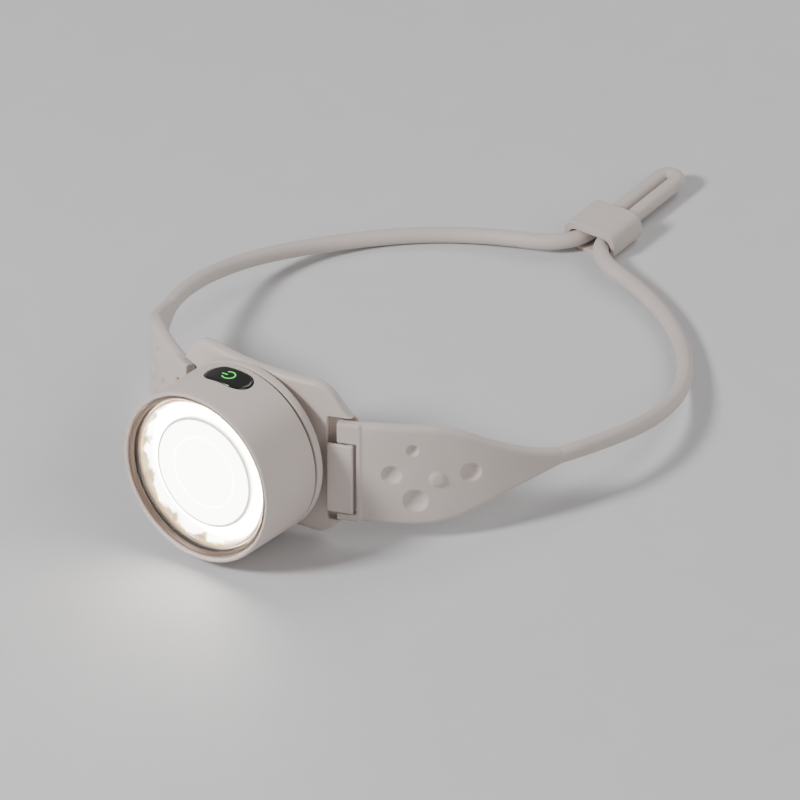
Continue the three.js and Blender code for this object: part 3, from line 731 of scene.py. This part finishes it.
def add_button():
    outline = stadium_outline(BUTTON_LENGTH, BUTTON_WIDTH, BUTTON_Y)
    rings = [[(x, y, BUTTON_BOTTOM) for x, y in outline]]
    for inset in BUTTON_INSETS:
        rest = max(0, BUTTON_EDGE - inset)
        drop = BUTTON_EDGE - math.sqrt(BUTTON_EDGE ** 2 - rest ** 2)
        outline = stadium_outline(BUTTON_LENGTH - 2 * inset, BUTTON_WIDTH - 2 * inset, BUTTON_Y)
        rings.append([(x, y, button_top(x) - drop) for x, y in outline])
    cap = to_object("button_cap_visible", *loft(rings))
    finish_piece(cap, UPRIGHT, "button_gloss", "button", ["button_cap"], crease=50)

    turns = [math.radians(angle) for angle in range(45, 316, 10)]
    arc = [Vector((-SYMBOL_R * math.cos(turn), SYMBOL_R * math.sin(turn))) for turn in turns]
    stroke = [Vector((-0.3 - 0.4 * i, 0)) for i in range(5)]
    symbol = to_object("power_symbol", *on_button(arc, SYMBOL_WIDTH))
    combine(symbol, [on_button(stroke, SYMBOL_WIDTH)], "UNION")
    finish_piece(symbol, UPRIGHT, "power_green", "button", ["button_light"])


# ---------- plate and pad ----------
# (angle, bottom, top) of the plate's right half.
PLATE_OUTLINE = [
    (4, -19.4, 20.8), (9, -19.4, 20.8), (13, -19.5, 20.8), (15.5, -19.8, 20.7), (17, -19.5, 20.2),
    (18.5, -18.4, 19.1), (19.5, -17.4, 18), (20.5, -16.4, 16.5), (21.5, -15.2, 14.9), (22.5, -14.2, 13.5),
    (23.5, -13.4, 12.5), (24.3, -13, 12),
]


def add_plate():
    half = smooth_rows(PLATE_OUTLINE, 0.5)
    rows = [(-a, low, high) for a, low, high in reversed(half)] + [(0, -19.4, 20.8)] + half
    plate = to_object("bracket_plate_visible", *loft([
        band_ring(angle, PLATE_RADII, (low, high), PLATE_CORNER) for angle, low, high in rows
    ]))
    cuts = [band_block(side, POCKET_ANGLES, (POCKET_R, BEYOND_BAND), POCKET_Z) for side in (1, -1)]
    for side in (1, -1):
        x = sorted((side * (LUG_X[0] - LUG_GAPS[0]), side * (LUG_X[1] + LUG_GAPS[1])))
        cuts.append(prism(disc_outline(HINGE_Y, HINGE_Z, KNUCKLE_R + KNUCKLE_GAP), "X", *x))
    combine(plate, cuts, "DIFFERENCE")
    adds = []
    for side in (1, -1):
        adds.append(band_block(side, HOOK_POST_ANGLES, HOOK_POST_RADII, HOOK_SPAN))
        lip_angles = (HOOK_LIP_START, HOOK_POST_ANGLES[1])
        adds.append(band_block(side, lip_angles, HOOK_LIP_RADII, HOOK_SPAN, 0.4))
        x = sorted(side * end for end in KNUCKLE_X)
        adds.append(prism(disc_outline(HINGE_Y, HINGE_Z, KNUCKLE_R), "X", *x))
        adds.append(prism(box_outline((HINGE_Y - 1, HINGE_Y + 1), (HINGE_Z, KNUCKLE_ROOT_Z)), "X", *x))
    combine(plate, adds, "UNION")
    combine(plate, [prism(disc_outline(HINGE_Y, HINGE_Z, PIN_BORE_R), "X", *PIN_BORE_X)], "DIFFERENCE")
    soften(plate, 0.25, 3)
    return finish_piece(plate, UPRIGHT, "shell_plastic", "bracket", ["bracket_plate"], crease=70)


def add_pad():
    rows = [(4, -15, 18), (8, -15, 18), (12, -14.6, 17.6), (14.5, -13.5, 16.5), (16, -11.5, 14.5)]
    half = smooth_rows(rows, 0.5)
    rows = [(-a, low, high) for a, low, high in reversed(half)] + half
    pad = to_object("forehead_pad_visible", *loft([
        band_ring(angle, PAD_RADII, (low, high), 0.5) for angle, low, high in rows
    ]))
    return finish_piece(pad, UPRIGHT, "silicone", "bracket", ["forehead_pad"], crease=60)


# ---------- arms ----------
# (angle, half-height, thickness) from the window's far edge to the round cord.
ARM_OUTLINE = [
    (24.8, ARM_HALF, ARM_THICKNESS), (29, 13.4, ARM_THICKNESS), (34, 13.4, ARM_THICKNESS),
    (38, 13.3, ARM_THICKNESS), (41, 13, ARM_THICKNESS), (43.5, 12.4, ARM_THICKNESS),
    (46, 11.6, ARM_THICKNESS), (49, 10.3, ARM_THICKNESS), (52, 8.7, 3.3), (55, 7.2, 3.4), (58, 5.8, 3.5),
    (61, 4.6, 3.7), (64, 3.5, 3.8), (66.5, 2.7, 3.9), (69, 2.1, 4),
]
# (angle, height above the arm's middle, radius, depth) of the round marks; the bump stands out.
MARKS = [
    (32, 0.4, 2.4, 1.15), (36.4, 7.2, 1.5, 0.95), (37, -6.4, 3, 1.25), (48.6, 0.8, 2.5, 1.15),
    (41.6, -0.6, 2.1, -0.65),
]


def mark_faces(obj, side):
    """Presses the dimples into the arm's outer face, and raises the bump."""
    for vertex in obj.data.vertices:
        x, y = vertex.co.x, BAND_CENTRE_Y - vertex.co.y
        radius = math.hypot(x, y)
        if radius < BAND_R + 0.5:
            continue
        angle = side * math.degrees(math.atan2(x, y))
        for mark_angle, height, reach, depth in MARKS:
            along = math.radians(angle - mark_angle) * BAND_R
            away = math.hypot(along, vertex.co.z - BAND_Z - height) / reach
            if away < 1:
                sunk = depth * (1 - away ** 3.5)
                vertex.co.x -= x / radius * sunk
                vertex.co.y += y / radius * sunk


def add_arm(side, name):
    rings = []
    for angle, half, thickness in smooth_rows(ARM_OUTLINE, 0.6):
        corner = min(thickness * 0.46, half * 0.92)
        radii = (BAND_R - thickness / 2, BAND_R + thickness / 2)
        rings.append(band_ring(side * angle, radii, (BAND_Z - half, BAND_Z + half), corner))
    arm = to_object(f"{name}_visible", *loft(rings))
    frame_span = (BAND_Z - ARM_HALF, BAND_Z + ARM_HALF)
    combine(arm, [band_block(side, ARM_FRAME_ANGLES, ARM_FRAME_RADII, frame_span, 0.6)], "UNION")
    window = band_block(side, WINDOW_ANGLES, (58, BEYOND_BAND), WINDOW_SPAN)
    combine(arm, [window], "DIFFERENCE")
    pivot = band_point(side * BAR_ANGLE, BAR_RING_R, 0)
    bar = prism(disc_outline(pivot.x, pivot.y, BAR_R), "Z", WINDOW_SPAN[0] - 1, WINDOW_SPAN[1] + 1)
    combine(arm, [bar], "UNION")
    soften(arm, 0.28, 3)
    mark_faces(arm, side)
    return finish_piece(arm, UPRIGHT, "silicone", name, [name], crease=70)


# ---------- CAD nodes that stay, floor and light ----------
def dress_cad_nodes():
    """Every CAD node gets its slot's full material, shown or not."""
    slots = {part["node"]: part["material_slot"] for part in frame["record"]["subparts"]}
    for name, obj in frame["nodes"].items():
        for holder in obj.material_slots:
            holder.link = "OBJECT"
            holder.material = MATERIALS[slots[name]]


def add_light(name, location, target, size, power):
    data = bpy.data.lights.new(name, "AREA")
    data.size = size
    data.energy = power
    light = bpy.data.objects.new(name, data)
    light.location = location
    light.rotation_euler = (Vector(target) - Vector(location)).to_track_quat("-Z", "Y").to_euler()
    bpy.context.collection.objects.link(light)


def add_studio():
    bpy.ops.mesh.primitive_grid_add(x_subdivisions=8, y_subdivisions=8, size=8, location=(0, 0, 0))
    floor = bpy.context.object
    floor.name = "floor"
    surface = procedural("floor", (0.62, 0.62, 0.63), 0.6, grain=0.02, grain_size=4, mottle=0.01)
    floor.data.materials.append(surface)
    middle = (0, 0.05, 0.01)
    add_light("key", (-0.40, -0.76, 0.74), middle, 0.22, 13)
    add_light("fill", (0.95, 0.05, 0.6), middle, 0.7, 3)
    add_light("rim", (0.2, 0.9, 0.7), middle, 0.6, 4)
    world = bpy.data.worlds.new("world")
    world.use_nodes = True
    world.node_tree.nodes["Background"].inputs["Color"].default_value = (0.86, 0.83, 0.80, 1)
    world.node_tree.nodes["Background"].inputs["Strength"].default_value = 0.33
    bpy.context.scene.world = world


add_camera()
add_cords()
add_shell()
add_cover()
add_front()
add_button()
add_plate()
add_pad()
add_arm(1, "arm_right")
add_arm(-1, "arm_left")
dress_cad_nodes()
add_studio()
